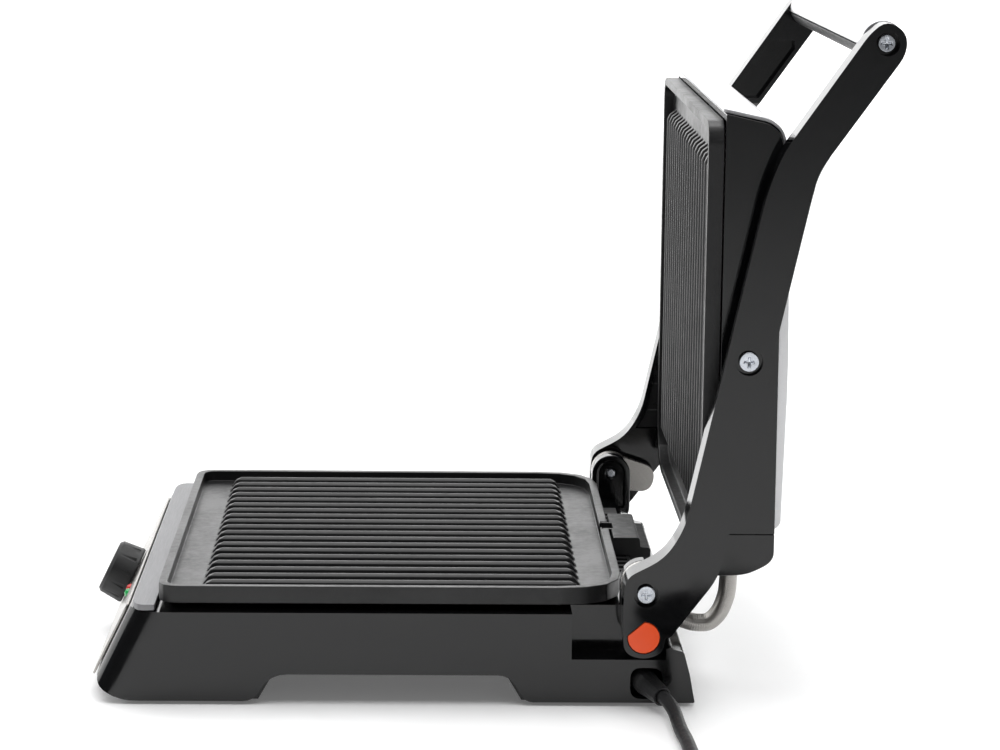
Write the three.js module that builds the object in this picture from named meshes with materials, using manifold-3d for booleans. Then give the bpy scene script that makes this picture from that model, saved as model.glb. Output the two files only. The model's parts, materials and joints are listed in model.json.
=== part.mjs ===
// Panini press, opened to its stop. Millimetres, +Z up, +X to the user's right, the front towards -Y.
// Each named mesh is one separate piece. The platen hangs between two arms that turn on the base's ears.

import * as THREE from 'three';
import { mergeVertices } from 'three/addons/utils/BufferGeometryUtils.js';
import Module from 'manifold-3d';

const wasm = await Module();
wasm.setup();

// ---------- driving dimensions ----------

const GAP = 0.3;                 // between pieces that touch
const CENTRE_Y = 43.7;           // middle of the whole press, front to back, in the drawing frame

const PLATE_W = 290;             // plates, across
const LOWER_FRONT = -118;
const LOWER_REAR = 118;
const RIM_Z = 60;                // top of the lower plate's rim
const PAN_DEPTH = 6;
const PLATE_BACK_Z = 51;         // underside of the lower plate
const RIM_T = 4.5;
const RIB_COUNT = 19;
const RIB_PITCH = 14.1;
const RIB_HALF = 97;             // ribs run this far to the front and the rear
const RIB_H = 5.2;

const BASE_HALF = 150;
const BASE_TOP = 47.5;
const FRONT_Y = -155.8;          // where the leaning front would meet the floor
const FRONT_SLOPE = 0.486;       // how far the front leans back per mm of height
const WALL = 2.6;
const CHANNEL_TOP = 15.5;        // the open channel under the base
const POCKET_X = 130;            // the side pockets that the arms' lower ends turn in
const POCKET_FRONT = 91.5;
const POCKET_REAR = 139.4;
const LEDGE_Z = 24;
const BASE_BOTTOM = 1.5;         // the feet stand this far below the housing

const HINGE = [127.6, 61.6];     // main hinge axis, as Y and Z
const PIVOT = [176, 180];        // platen pivot axis
const GRIP = [239.3, 336.8];     // handle axis
const BUTTON = [126.6, 39.9];    // release button axis
const EAR_R = 11.3;
const EAR_IN = POCKET_X + GAP;
const EAR_OUT = 139;
const LINK_OUT = 144.8;
const SWING_R = 34;              // clear radius around the hinge for the arms' lower ends
const ARM_IN = 149;
const ARM_OUT = 167;
const ARM_MID = 160.5;           // inner face of the arms where the platen hangs between them
const ARM_R = 10.4;              // the handle's radius
const BUTTON_R = 8;
const PIN_IN = 148.2;            // inner end of the lock pin
const SPRING_TURNS = 4;
const FEET = [[-126, -112], [126, -112], [-126, 110], [126, 110]];
const SCREWS = [[-112, -96], [112, -96], [-112, 92], [112, 92]];
const LAMPS = [27, 37];

const FACE_Y = 155.5;            // front of the upper plate's rim
const UPPER_LOW = 67;
const UPPER_HIGH = 296.7;
const SKIRT_BACK = 163.6;
const SHELL_HALF = 147;
const SHELL_FRONT = 163.9;
const SHELL_BACK = 193;
const SEAM_Z = 88.5;             // between the housing and its end cap

const KNOB = [-141.6, 28.9];     // where the knob's axis meets the front panel
const KNOB_R = 16.2;
const KNOB_FACE = 16.4;          // from the front panel's plane to the knob's face
const PANEL_TILT = Math.atan2(1, FRONT_SLOPE);

const CONDUIT_X = 100;
const CONDUIT_Z = 34.5;          // where it leaves the base
const CONDUIT_R = 5;
const CORD_R = 3.5;
const COIL = [334, 184];
const COIL_R = 37;
const PIN_X = 9.5;               // plug pins, either side of the middle

const gloss = material(0x0b0c0e, 0.12, 0);
const matte = material(0x17181a, 0.55, 0);
const coating = material(0x232325, 0.45, 0.1);
const steel = material(0xc9cacc, 0.28, 1);
const silver = material(0xdcdddf, 0.3, 0.9);
const grey = material(0x8d8f91, 0.4, 0.4);
const aluminium = material(0xa9abad, 0.45, 0.9);
const orange = material(0xe8431a, 0.35, 0);
const rubber = material(0x121212, 0.85, 0);
const brass = material(0xb08d4a, 0.4, 0.9);
const ceramic = material(0xd8d2c4, 0.7, 0);
const red = material(0xc22016, 0.2, 0);
const green = material(0x1f9a4a, 0.2, 0);

function material(color, roughness, metalness) {
  return new THREE.MeshStandardMaterial({ color, roughness, metalness });
}

// ---------- solids ----------

const press = new THREE.Group();

function add(name, solid, look) {
  const mesh = new THREE.Mesh(toGeometry(solid).translate(0, -CENTRE_Y, 0), look);
  mesh.name = name;
  press.add(mesh);
}

function toSolid(geometry) {
  const bare = geometry.clone();
  bare.deleteAttribute('normal');
  bare.deleteAttribute('uv');
  const merged = mergeVertices(bare, 1e-4);
  const vertProperties = Float32Array.from(merged.attributes.position.array);
  const index = merged.index.array;
  const corner = (i) => new THREE.Vector3().fromArray(vertProperties, index[i] * 3);
  const faces = [];
  let volume = 0;
  for (let i = 0; i < index.length; i += 3) {
    const [a, b, c] = [index[i], index[i + 1], index[i + 2]];
    if (a === b || b === c || c === a) continue;
    faces.push([a, b, c]);
    volume += corner(i).dot(corner(i + 1).cross(corner(i + 2)));
  }
  const triVerts = Uint32Array.from(faces.flatMap(([a, b, c]) => (volume > 0 ? [a, b, c] : [a, c, b])));
  return new wasm.Manifold(new wasm.Mesh({ numProp: 3, vertProperties, triVerts }));
}

function toGeometry(solid) {
  const mesh = solid.getMesh();
  const geometry = new THREE.BufferGeometry();
  geometry.setAttribute('position', new THREE.BufferAttribute(mesh.vertProperties.slice(), 3));
  geometry.setIndex(new THREE.BufferAttribute(mesh.triVerts.slice(), 1));
  return geometry;
}

function join(...solids) {
  return solids.reduce((sum, solid) => sum.add(solid));
}

function cut(solid, ...tools) {
  return tools.reduce((rest, tool) => rest.subtract(tool), solid);
}

// An outline with rounded corners: each point is [u, v] or [u, v, radius].
function outline(points) {
  const shape = new THREE.Shape();
  points.forEach(([u, v, r = 0], i) => {
    const before = points[(i + points.length - 1) % points.length];
    const after = points[(i + 1) % points.length];
    const start = towards([u, v], before, r);
    const end = towards([u, v], after, r);
    if (i === 0) shape.moveTo(...start);
    else shape.lineTo(...start);
    if (r > 0) shape.quadraticCurveTo(u, v, ...end);
  });
  shape.closePath();
  return shape;
}

function towards(from, to, distance) {
  const length = Math.hypot(to[0] - from[0], to[1] - from[1]);
  const share = Math.min(distance / length, 0.5);
  return [from[0] + (to[0] - from[0]) * share, from[1] + (to[1] - from[1]) * share];
}

// Moves every side of an outline inwards by a distance.
function inset(points, distance) {
  const area = points.reduce((sum, p, i) => {
    const q = points[(i + 1) % points.length];
    return sum + p[0] * q[1] - q[0] * p[1];
  }, 0);
  const turn = Math.sign(area);
  return points.map(([u, v, r = 0], i) => {
    const a = points[(i + points.length - 1) % points.length];
    const b = points[(i + 1) % points.length];
    const n1 = normal(a, [u, v], turn);
    const n2 = normal([u, v], b, turn);
    const scale = distance / (1 + n1[0] * n2[0] + n1[1] * n2[1]);
    return [u + (n1[0] + n2[0]) * scale, v + (n1[1] + n2[1]) * scale, Math.max(r - distance, 0)];
  });
}

function normal(from, to, turn) {
  const length = Math.hypot(to[0] - from[0], to[1] - from[1]);
  return [-turn * (to[1] - from[1]) / length, turn * (to[0] - from[0]) / length];
}

function rectangle(u0, v0, u1, v1, r = 0) {
  return [[u0, v0, r], [u1, v0, r], [u1, v1, r], [u0, v1, r]];
}

// A tapering bar from a centre, as Y and Z, at an angle up from the rear.
function lever([y, z], degrees, reach, halfStart, halfEnd) {
  const angle = THREE.MathUtils.degToRad(degrees);
  const [c, s] = [Math.cos(angle), Math.sin(angle)];
  const place = (along, across, r) => [y + along * c - across * s, z + along * s + across * c, r];
  const end = [place(reach, -halfEnd, halfEnd), place(reach, halfEnd, halfEnd)];
  return [place(0, -halfStart), ...end, place(0, halfStart)];
}

function extrude(shape, depth, curveSegments) {
  return new THREE.ExtrudeGeometry(shape, { depth, bevelEnabled: false, curveSegments });
}

// Outlines in Y and Z run along X, those in X and Z run along Y, and those in X and Y run along Z.
function alongX(points, x0, x1, segments = 4) {
  const shape = points instanceof THREE.Shape ? points : outline(points);
  const axes = new THREE.Matrix4().makeBasis(
    new THREE.Vector3(0, 1, 0), new THREE.Vector3(0, 0, 1), new THREE.Vector3(1, 0, 0));
  return toSolid(extrude(shape, x1 - x0, segments).applyMatrix4(axes).translate(x0, 0, 0));
}

function alongY(points, y0, y1, segments = 4) {
  const shape = points instanceof THREE.Shape ? points : outline(points);
  const axes = new THREE.Matrix4().makeBasis(
    new THREE.Vector3(1, 0, 0), new THREE.Vector3(0, 0, 1), new THREE.Vector3(0, -1, 0));
  return toSolid(extrude(shape, y1 - y0, segments).applyMatrix4(axes).translate(0, y1, 0));
}

function alongZ(points, z0, z1, segments = 4) {
  const shape = points instanceof THREE.Shape ? points : outline(points);
  return toSolid(extrude(shape, z1 - z0, segments).translate(0, 0, z0));
}

function block(x0, y0, z0, x1, y1, z1) {
  const box = new THREE.BoxGeometry(x1 - x0, y1 - y0, z1 - z0);
  return toSolid(box.translate((x0 + x1) / 2, (y0 + y1) / 2, (z0 + z1) / 2));
}

function rodX([y, z], r, x0, x1, sides = 16) {
  const rod = new THREE.CylinderGeometry(r, r, x1 - x0, sides);
  return toSolid(rod.rotateZ(Math.PI / 2).translate((x0 + x1) / 2, y, z));
}

function rodY(x, z, r, y0, y1, sides = 16) {
  return toSolid(new THREE.CylinderGeometry(r, r, y1 - y0, sides).translate(x, (y0 + y1) / 2, z));
}

function rodZ(x, y, r, z0, z1, sides = 16) {
  const rod = new THREE.CylinderGeometry(r, r, z1 - z0, sides);
  return toSolid(rod.rotateX(Math.PI / 2).translate(x, y, (z0 + z1) / 2));
}

function obround([y, z0], z1, r) {
  const shape = new THREE.Shape();
  shape.absarc(y, z1, r, 0, Math.PI, false);
  shape.absarc(y, z0, r, Math.PI, 2 * Math.PI, false);
  shape.closePath();
  return shape;
}

function tube(points, r, steps, sides = 8) {
  const path = new THREE.CatmullRomCurve3(points.map((p) => new THREE.Vector3(...p)));
  const section = new THREE.Shape();
  for (let i = 0; i < sides; i += 1) {
    const a = (i / sides) * 2 * Math.PI;
    if (i === 0) section.moveTo(r * Math.cos(a), r * Math.sin(a));
    else section.lineTo(r * Math.cos(a), r * Math.sin(a));
  }
  section.closePath();
  const geometry = new THREE.ExtrudeGeometry(section, { steps, bevelEnabled: false, extrudePath: path });
  return toSolid(geometry);
}

function mirrored(solid) {
  return solid.mirror([1, 0, 0]);
}

function bothSides(name, solid, look) {
  add(`${name}_right`, solid, look);
  add(`${name}_left`, mirrored(solid), look);
}

// ---------- base ----------

const BASE_PROFILE = [
  [-136.5, BASE_BOTTOM, 8], [-69, BASE_BOTTOM, 6], [-61, CHANNEL_TOP, 9], [60, CHANNEL_TOP, 6],
  [68.5, BASE_BOTTOM, 4], [154.4, BASE_BOTTOM, 1], [151.7, 16], [148.4, 28.2, 1.5], [143.2, 29.4],
  [139.6, 33.4], [137, 39.5, 2], [131, 46, 2], [119, BASE_TOP], [-132.7, BASE_TOP, 1.5], [-151.4, 9, 7],
];

const HOLLOW_PROFILE = [
  [-134, -5], [-134, 4], [-146.8, 10], [-130.2, BASE_TOP - WALL], [118, BASE_TOP - WALL], [129.6, 43.2],
  [134.4, 38], [137, 32], [142, 26.6], [146, 25.8], [149, 15.6], [151, -5],
];

// A block whose front leans back like the front panel, with rounded front corners.
function leaningBlock(half, front, radius) {
  const lean = new THREE.Matrix4().set(1, 0, 0, 0, 0, 1, FRONT_SLOPE, 0, 0, 0, 1, 0, 0, 0, 0, 1);
  const plan = outline([[-half, front, radius], [half, front, radius], [half, 250], [-half, 250]]);
  return toSolid(extrude(plan, 80, 5).applyMatrix4(lean).translate(0, -20 * FRONT_SLOPE, -20));
}

// The recess at a rear corner that an arm's lower end turns in.
function pocket(side, clear) {
  const x0 = side > 0 ? POCKET_X - clear : -200;
  const x1 = side > 0 ? 200 : -POCKET_X + clear;
  const recess = block(x0, POCKET_FRONT - clear, LEDGE_Z - clear, x1, POCKET_REAR + clear, 80);
  return join(recess, rodX(HINGE, SWING_R + clear, x0, x1, 48));
}

function baseHousing() {
  const body = alongX(BASE_PROFILE, -BASE_HALF, BASE_HALF)
    .intersect(leaningBlock(BASE_HALF, FRONT_Y, 20));
  const inside = alongX(HOLLOW_PROFILE, -BASE_HALF + WALL, BASE_HALF - WALL, 1)
    .intersect(leaningBlock(BASE_HALF - WALL, FRONT_Y + WALL, 17.5));
  const outer = cut(body, pocket(1, 0), pocket(-1, 0));
  const hollow = cut(inside, pocket(1, WALL), pocket(-1, WALL));
  const window = block(-104, -88, 30, 104, 88, 60);
  const cordHole = alongX(rectangle(121.4, 3.6, 137.8, 19.8, 5.5), 140, 160);
  const conduitHole = rodY(CONDUIT_X, CONDUIT_Z, 7.5, 125, 143);
  const posts = SCREWS.map(([x, y]) => rodZ(x, y, 5, 4.4, PLATE_BACK_Z - GAP, 14));
  const bores = SCREWS.map(([x, y]) => rodZ(x, y, 1.9, 0, 16, 10));
  const lampHoles = LAMPS.map((x) => onPanel(rodY(0, 0, 3.2, -14, 6, 12), x));
  const shaftHole = onPanel(rodY(0, 0, 4, -14, 6, 16));
  const shell = join(cut(outer, hollow, window), ...posts);
  return cut(shell, cordHole, conduitHole, shaftHole, ...bores, ...lampHoles, ...rearGrooves());
}

// Three upright grooves at each end of the sloping rear edge.
function rearGrooves() {
  const profile = [[160, 12], [160, 36], [146.9, 36], [146.9, 28], [150.9, 14], [152.2, 12]];
  return [133, 138.5, 144].flatMap((x) => [alongX(profile, x, x + 2.6), alongX(profile, -x - 2.6, -x)]);
}

// Moves a solid drawn around the Y axis onto the front panel, with +Y pointing out of it.
function onPanel(solid, x = 0, out = 0) {
  const outY = -Math.sin(PANEL_TILT);
  const outZ = Math.cos(PANEL_TILT);
  const matrix = new THREE.Matrix4().makeBasis(
    new THREE.Vector3(-1, 0, 0), new THREE.Vector3(0, outY, outZ), new THREE.Vector3(0, outZ, -outY));
  matrix.setPosition(x, KNOB[0] + outY * out, KNOB[1] + outZ * out);
  return toSolid(toGeometry(solid).applyMatrix4(matrix));
}

// The cover under the base follows the open channel between its front and rear feet.
function bottomCover() {
  const under = [
    [-133.6, 2], [-67, 2], [-59, CHANNEL_TOP + 0.5], [58, CHANNEL_TOP + 0.5], [66.4, 2], [149.7, 2],
    [149.5, 4], [67.8, 4], [59.4, CHANNEL_TOP + 2.5], [-60.4, CHANNEL_TOP + 2.5], [-68.4, 4], [-133.6, 4],
  ];
  const half = BASE_HALF - WALL - GAP;
  const cover = alongX(under, -half, half).intersect(leaningBlock(half, FRONT_Y + WALL + GAP, 17.5));
  const bores = FEET.map(([x, y]) => rodZ(x, y, 2.1, 0, 8, 12));
  const seats = SCREWS.map(([x, y]) => rodZ(x, y, 3.3, 0, 8, 12));
  return cut(cover, ...bores, ...seats);
}

function frontPanel() {
  const sheet = alongY(rectangle(-129, -22.5, 129, 19.8, 4), 0, 1.2);
  const holes = [rodY(0, 0, 4.4, -1, 3, 16), ...LAMPS.map((x) => rodY(-x, 0, 3.2, -1, 3, 12))];
  return onPanel(cut(sheet, ...holes), 0, GAP);
}

function frontTrim() {
  const z0 = BASE_TOP + GAP;
  const front = FRONT_Y + FRONT_SLOPE * 51;
  const rear = LOWER_FRONT - 0.8;
  return alongZ([[-148, front, 18], [148, front, 18], [148, rear, 1], [-148, rear, 1]], z0, 51);
}

function rearDeck() {
  const grille = [];
  for (let i = 0; i < 6; i += 1) grille.push(block(-76 + i * 9, 120.6, 40, -71 + i * 9, 126.6, 55));
  for (let i = 0; i < 6; i += 1) grille.push(block(26 + i * 9, 120.6, 40, 31 + i * 9, 126.6, 55));
  return cut(block(-92, 118.8, BASE_TOP + GAP, 92, 128, 49.6), ...grille);
}

function drainSpout() {
  const lip = alongX([[114.8, 52.6], [124, 52.6], [124, 59.8], [114.8, 59.8]], -8.6, 8.6);
  const block = alongX([
    [119.4, 50], [128.4, 50], [128.4, 47], [131.2, 46.6], [136.4, 40.9], [139.6, 42.6, 1.5],
    [139.6, 54.2, 1.5], [134, 54.6, 0.6], [133.6, 59.8, 1.5], [119.4, 59.8, 0.6],
  ], -30, 30, 3);
  const inside = alongX([[121.6, 40], [132, 40], [132, 57.6], [121.6, 57.6]], -27.6, 27.6);
  const channel = alongX([[113, 55], [120.5, 55, 2], [120.5, 63], [113, 63]], -6.4, 6.4);
  return cut(join(lip, cut(block, inside)), channel);
}

function foot([x, y]) {
  const pad = rodZ(x, y, 7, 0, 1.7, 20);
  return cut(join(pad, rodZ(x, y, 1.8, 1.6, 7, 12)), rodZ(x, y, 0.9, -1, 1, 8));
}

function bottomScrew([x, y]) {
  const head = join(rodZ(x, y, 3, 2.1, 3.8, 14), rodZ(x, y, 1.6, 3.7, 13, 10));
  const slots = [[2, 0.4], [0.4, 2]].map(([a, b]) => block(x - a, y - b, 1, x + a, y + b, 2.9));
  return cut(head, ...slots);
}

function thermostatBody() {
  const box = alongY(rectangle(-17, -12, 17, 12, 2), -26, -9);
  const lugs = [-24, 16.5].map((x) => alongY(rectangle(x, -3, x + 7.5, 3), -16, -14.5));
  return onPanel(cut(join(box, ...lugs), rodY(0, 0, 3.4, -22, 0, 14)));
}

function thermostatShaft() {
  return onPanel(rodY(0, 0, 3, -21, 8, 14));
}

function controlKnob() {
  const profile = [
    [0, 9.4], [3.4, 9.4], [3.4, 2], [9, 2], [KNOB_R - 0.6, 2], [KNOB_R, 3], [KNOB_R - 1, KNOB_FACE - 1.6],
    [KNOB_R - 2.6, KNOB_FACE], [0, KNOB_FACE],
  ].map(([r, y]) => new THREE.Vector2(r, y));
  const cup = toSolid(new THREE.LatheGeometry(profile, 36));
  const mark = block(-0.8, KNOB_FACE - 1.2, 5, 0.8, KNOB_FACE + 1, 12);
  const flutes = [];
  for (let i = 0; i < 12; i += 1) {
    const a = ((i + 0.5) / 12) * 2 * Math.PI;
    flutes.push(rodY(17.3 * Math.sin(a), 17.3 * Math.cos(a), 2, 4.5, KNOB_FACE - 3, 8));
  }
  return onPanel(cut(cup, mark, ...flutes));
}

function lamp(x) {
  const lens = toSolid(new THREE.SphereGeometry(2.8, 12, 8).translate(0, 0.6, 0));
  return onPanel(join(lens, rodY(0, 0, 2.7, -9, 0.8, 12)), x);
}

// ---------- plates ----------

// A ribbed pan drawn face up, with its rim at height 0: X across, Y along the ribs.
function ribbedPan(front, rear, frontR, rearR, depth) {
  const half = PLATE_W / 2;
  const plan = [[-half, front, frontR], [half, front, frontR], [half, rear, rearR], [-half, rear, rearR]];
  let pan = cut(alongZ(plan, -depth, 0), alongZ(inset(plan, RIM_T), -PAN_DEPTH, 5));
  const slope = [
    [-RIB_HALF, -PAN_DEPTH - 1], [RIB_HALF, -PAN_DEPTH - 1], [RIB_HALF, -PAN_DEPTH],
    [RIB_HALF - 4, RIB_H - PAN_DEPTH, 2], [-RIB_HALF + 4, RIB_H - PAN_DEPTH, 2], [-RIB_HALF, -PAN_DEPTH],
  ];
  const section = [
    [-3, -PAN_DEPTH - 1], [3, -PAN_DEPTH - 1], [3, -PAN_DEPTH], [2, RIB_H - PAN_DEPTH, 1.2],
    [-2, RIB_H - PAN_DEPTH, 1.2], [-3, -PAN_DEPTH],
  ];
  const rib = alongY(section, -RIB_HALF, RIB_HALF, 1).intersect(alongX(slope, -4, 4, 1));
  for (let i = 0; i < RIB_COUNT; i += 1) {
    pan = join(pan, rib.translate([(i - (RIB_COUNT - 1) / 2) * RIB_PITCH, 0, 0]));
  }
  return pan;
}

function lowerPlate() {
  const pan = ribbedPan(LOWER_FRONT, LOWER_REAR, 12, 34, RIM_Z - PLATE_BACK_Z).translate([0, 0, RIM_Z]);
  return cut(pan, block(-9, LOWER_REAR - 3.5, 52.3, 9, LOWER_REAR + 2, RIM_Z + 4),
    block(-5, LOWER_REAR - 9, RIM_Z - PAN_DEPTH + 0.6, 5, LOWER_REAR, RIM_Z + 4));
}

// Stands a piece that was drawn face up: its face turns forward and its front end goes to the top.
function stood(solid) {
  const matrix = new THREE.Matrix4().makeBasis(
    new THREE.Vector3(1, 0, 0), new THREE.Vector3(0, 0, -1), new THREE.Vector3(0, -1, 0));
  matrix.setPosition(0, FACE_Y, (UPPER_LOW + UPPER_HIGH) / 2);
  return toSolid(toGeometry(solid).applyMatrix4(matrix));
}

function upperPlate() {
  const half = (UPPER_HIGH - UPPER_LOW) / 2;
  return stood(ribbedPan(-half, half, 12, 34, SKIRT_BACK - FACE_Y));
}

// The heating element lies in the plane that place() maps X and the distance from the far end to.
function heatingElement(place) {
  const loop = [
    [-26, 78], [-26, 52], [-70, 46], [-93, 22], [-93, -50], [-60, -76], [0, -79],
    [60, -76], [93, -50], [93, 22], [70, 46], [26, 52], [26, 78],
  ];
  return tube(loop.map(([x, v]) => place(x, v)), 3, 48, 6);
}

function lowerReflector() {
  const dish = rectangle(-103, -87, 103, 87, 10);
  return cut(alongZ(dish, 32.5, BASE_TOP - WALL - GAP, 3), alongZ(inset(dish, 1.2), 33.7, 60, 3));
}

function upperReflector() {
  const dish = rectangle(-122, UPPER_LOW + 20, 122, UPPER_HIGH - 14, 10);
  return cut(alongY(dish, 176, 186, 3), alongY(inset(dish, 1.2), 170, 184.8, 3));
}

// ---------- hinges ----------

function hingeEar() {
  const body = alongX(obround([HINGE[0], 42], HINGE[1], EAR_R), EAR_IN, EAR_OUT, 10);
  const recess = alongX(obround([HINGE[0], 44], HINGE[1], EAR_R - 3.4), EAR_IN - 1, EAR_IN + 1.8, 8);
  return cut(body, recess, rodX(HINGE, 3, 120, 160, 14));
}

// The steel link between ear and arm: the arm closes on it, and it turns back only when the press lies flat.
function hingeLink() {
  const body = join(
    rodX(HINGE, EAR_R, EAR_OUT + GAP, LINK_OUT, 28),
    alongX(lever(HINGE, -12, 26.4, 10.4, 7.5), EAR_OUT + GAP, LINK_OUT, 6));
  return cut(body, rodX(HINGE, 3, 120, 160, 14));
}

function crossScrew(axis, headR, headFrom, headTo, shankR, tip) {
  const head = rodX(axis, headR, headFrom, headTo, 18);
  const shank = rodX(axis, shankR, tip, headFrom + 0.1, 12);
  const [y, z] = axis;
  const slot = block(headTo - 1, y - 2.5, z - 0.5, headTo + 1, y + 2.5, z + 0.5);
  const across = block(headTo - 1, y - 0.5, z - 2.5, headTo + 1, y + 0.5, z + 2.5);
  return cut(join(head, shank), slot, across);
}

// The bush has a stop lever that lies behind the arm.
function pivotBush() {
  const body = join(
    rodX(PIVOT, 8, SHELL_HALF + GAP, ARM_MID - GAP, 24),
    alongX(lever(PIVOT, 77.7, 54, 7.8, 6.5), SHELL_HALF + 4, ARM_MID - 2, 6));
  return cut(body, rodX(PIVOT, 3, 140, 165, 14));
}

// ---------- arms ----------

const ARM_OUTLINE = [
  [116.1, 60, 6], [117.2, 70.6, 5], [136.5, 80.6, 8], [146, 96, 8], [182.9, 265, 10], [190.5, 284, 8],
  [230.9, 342.3, 5], [238.7, 348.2, 8], [248.4, 342.6, 7], [248.8, 332.2, 6], [208, 274.7, 10],
  [204.8, 262, 8], [167.9, 91.9, 8], [163.4, 71.2, 8], [139.6, 39.6, 3], [137.4, 39.9, 1],
  [136, 31.6, 5], [126.6, 28.6, 8], [117.2, 31.6, 7], [116.1, 40, 6],
];

function teardrop(grow) {
  const r = BUTTON_R + grow;
  const tip = [BUTTON[0] - 7.1 - grow * 0.7, BUTTON[1] + 8.4 + grow * 0.7];
  const lean = Math.atan2(tip[1] - BUTTON[1], tip[0] - BUTTON[0]);
  const half = Math.acos(r / Math.hypot(tip[0] - BUTTON[0], tip[1] - BUTTON[1]));
  const shape = new THREE.Shape();
  shape.moveTo(...tip);
  shape.absarc(BUTTON[0], BUTTON[1], r, lean + half, lean - half + 2 * Math.PI, false);
  shape.closePath();
  return shape;
}

function armBlank() {
  const body = alongX(ARM_OUTLINE, ARM_IN, ARM_OUT);
  const thinned = alongY(
    [[140, 149], [ARM_IN, 149], [ARM_MID, 158], [ARM_MID, 272], [ARM_IN, 281], [140, 281]], 120, 270);
  const hollow = alongX(inset(ARM_OUTLINE, 2.6), ARM_IN - 1, ARM_OUT - 3.4, 2);
  const lower = hollow.intersect(block(ARM_IN - 2, 130, 86, ARM_OUT, 175, 149));
  const upper = hollow.intersect(block(ARM_IN - 2, 180, 284, ARM_MID - 4, 232, 318));
  return cut(
    body, thinned, lower, upper,
    rodX(HINGE, 3, 100, 170, 14), rodX(HINGE, 6.3, 162.4, 170, 24),
    rodX(PIVOT, 3, 100, 170, 14), rodX(PIVOT, 6.8, 163.6, 170, 24),
    rodX(GRIP, 3, 100, 170, 14), rodX(GRIP, 6, 160.6, 170, 24));
}

function armRight() {
  return cut(
    armBlank(), alongX(teardrop(0.4), 157.4, 170, 8), rodX(BUTTON, 6.6, 151.4, 158, 16),
    rodX(BUTTON, 2.5, 140, 152, 12));
}

function armInnerCover() {
  const cover = alongX(inset(ARM_OUTLINE, 2.9), ARM_IN + 1, ARM_IN + 3, 2);
  const lid = cover.intersect(block(ARM_IN, 130, 86.4, ARM_OUT, 175, 148.6));
  const grooves = [0, 1, 2].map((i) => block(ARM_IN, 140, 97 + i * 16, ARM_IN + 1.8, 172, 101 + i * 16));
  return cut(lid, ...grooves);
}

function arc(shape, r, from, to, clockwise) {
  shape.absarc(GRIP[0], GRIP[1], r, THREE.MathUtils.degToRad(from), THREE.MathUtils.degToRad(to), clockwise);
}

function handleCover() {
  const shape = new THREE.Shape();
  arc(shape, ARM_R, -12, 192, false);
  arc(shape, ARM_R - 1.4, 192, -12, true);
  shape.closePath();
  return alongX(shape, -ARM_IN + GAP, ARM_IN - GAP, 18);
}

function handleCore() {
  const half = ARM_IN - GAP;
  const lip = new THREE.Shape();
  lip.moveTo(...GRIP);
  arc(lip, ARM_R, 196, 344, false);
  lip.closePath();
  const core = join(rodX(GRIP, ARM_R - 1.7, -half, half, 24), alongX(lip, -half, half, 12));
  return cut(core, rodX(GRIP, 3, 118, 160, 12), rodX(GRIP, 3, -160, -118, 12));
}

function releaseButton() {
  const cap = alongX(teardrop(0), 161, ARM_OUT, 8);
  const stem = rodX(BUTTON, 4, 154.6, 161.1, 14);
  return cut(join(cap, stem), rodX(BUTTON, 2.4, 150, 157.4, 12));
}

function buttonSpring() {
  const points = [];
  for (let i = 0; i <= SPRING_TURNS * 8; i += 1) {
    const a = (i / 8) * 2 * Math.PI;
    const x = 152.5 + (i / (SPRING_TURNS * 8)) * 7.4;
    points.push([x, BUTTON[0] + 5.3 * Math.cos(a), BUTTON[1] + 5.3 * Math.sin(a)]);
  }
  return tube(points, 0.5, SPRING_TURNS * 8, 5);
}

// ---------- platen ----------

function platenHousing() {
  const profile = [
    [SHELL_FRONT, SEAM_Z + GAP], [SHELL_BACK, SEAM_Z + GAP], [192.4, 289, 7], [187, 295.2, 4],
    [SHELL_FRONT, 300.4, 1],
  ];
  const inner = [[160, SEAM_Z - 5], [190.2, SEAM_Z - 5], [189.6, 287], [185.4, 292.4], [160, 297.6]];
  const hollow = alongX(inner, -SHELL_HALF + WALL, SHELL_HALF - WALL, 2);
  const window = block(-118, 186, 110, 118, 210, 276);
  const shell = cut(alongX(profile, -SHELL_HALF, SHELL_HALF), hollow, window);
  const bosses = [rodX(PIVOT, 7, 138, SHELL_HALF - 1, 16), rodX(PIVOT, 7, -SHELL_HALF + 1, -138, 16)];
  return cut(join(shell, ...bosses), rodX(PIVOT, 3.2, 136, 160, 14), rodX(PIVOT, 3.2, -160, -136, 14));
}

function platenEndCap() {
  const profile = [
    [SHELL_FRONT, SEAM_Z], [SHELL_BACK, SEAM_Z], [SHELL_BACK, 76.5, 3], [189.5, 72.6, 4], [179, 67.6, 5],
    [SHELL_FRONT, 67.2, 1],
  ];
  const body = alongX(profile, -SHELL_HALF, SHELL_HALF);
  const hollow = [[160, 95], [190.4, 95], [190.4, 78], [178.4, 70.2], [160, 70]];
  const inside = alongX(hollow, -SHELL_HALF + WALL, SHELL_HALF - WALL, 2);
  return cut(body, inside, rodZ(CONDUIT_X, 175, 7.5, 60, 80));
}

// A thin cover over the platen's back, with a lip that comes forward over its top end.
function platenCover() {
  const profile = [
    [163, 302.6, 0.4], [187.4, 297.4, 4], [194.6, 290.6, 8], [199, 185, 60], [196.6, 92.4, 2],
    [193.4, 90, 0.4], [193.4, 289.5, 7], [187.4, 295.7, 4], [163, 300.9, 0.4],
  ];
  return alongX(profile, -141, 141, 5);
}

// ---------- cables ----------

const CONDUIT_LOWER = [[129, 34.5], [140, 34.5], [147.6, 33.9], [153, 32.3], [157, 31.1], [161, 30.9]];
const CONDUIT_UPPER = [
  [162, 30.9], [165, 31.3], [168.5, 34], [171.7, 38.8], [174.3, 47], [175, 57], [175, 64], [175, 76],
];

function conduit(points) {
  return tube(points.map(([y, z]) => [CONDUIT_X, y, z]), CONDUIT_R, points.length * 2, 10);
}

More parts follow.
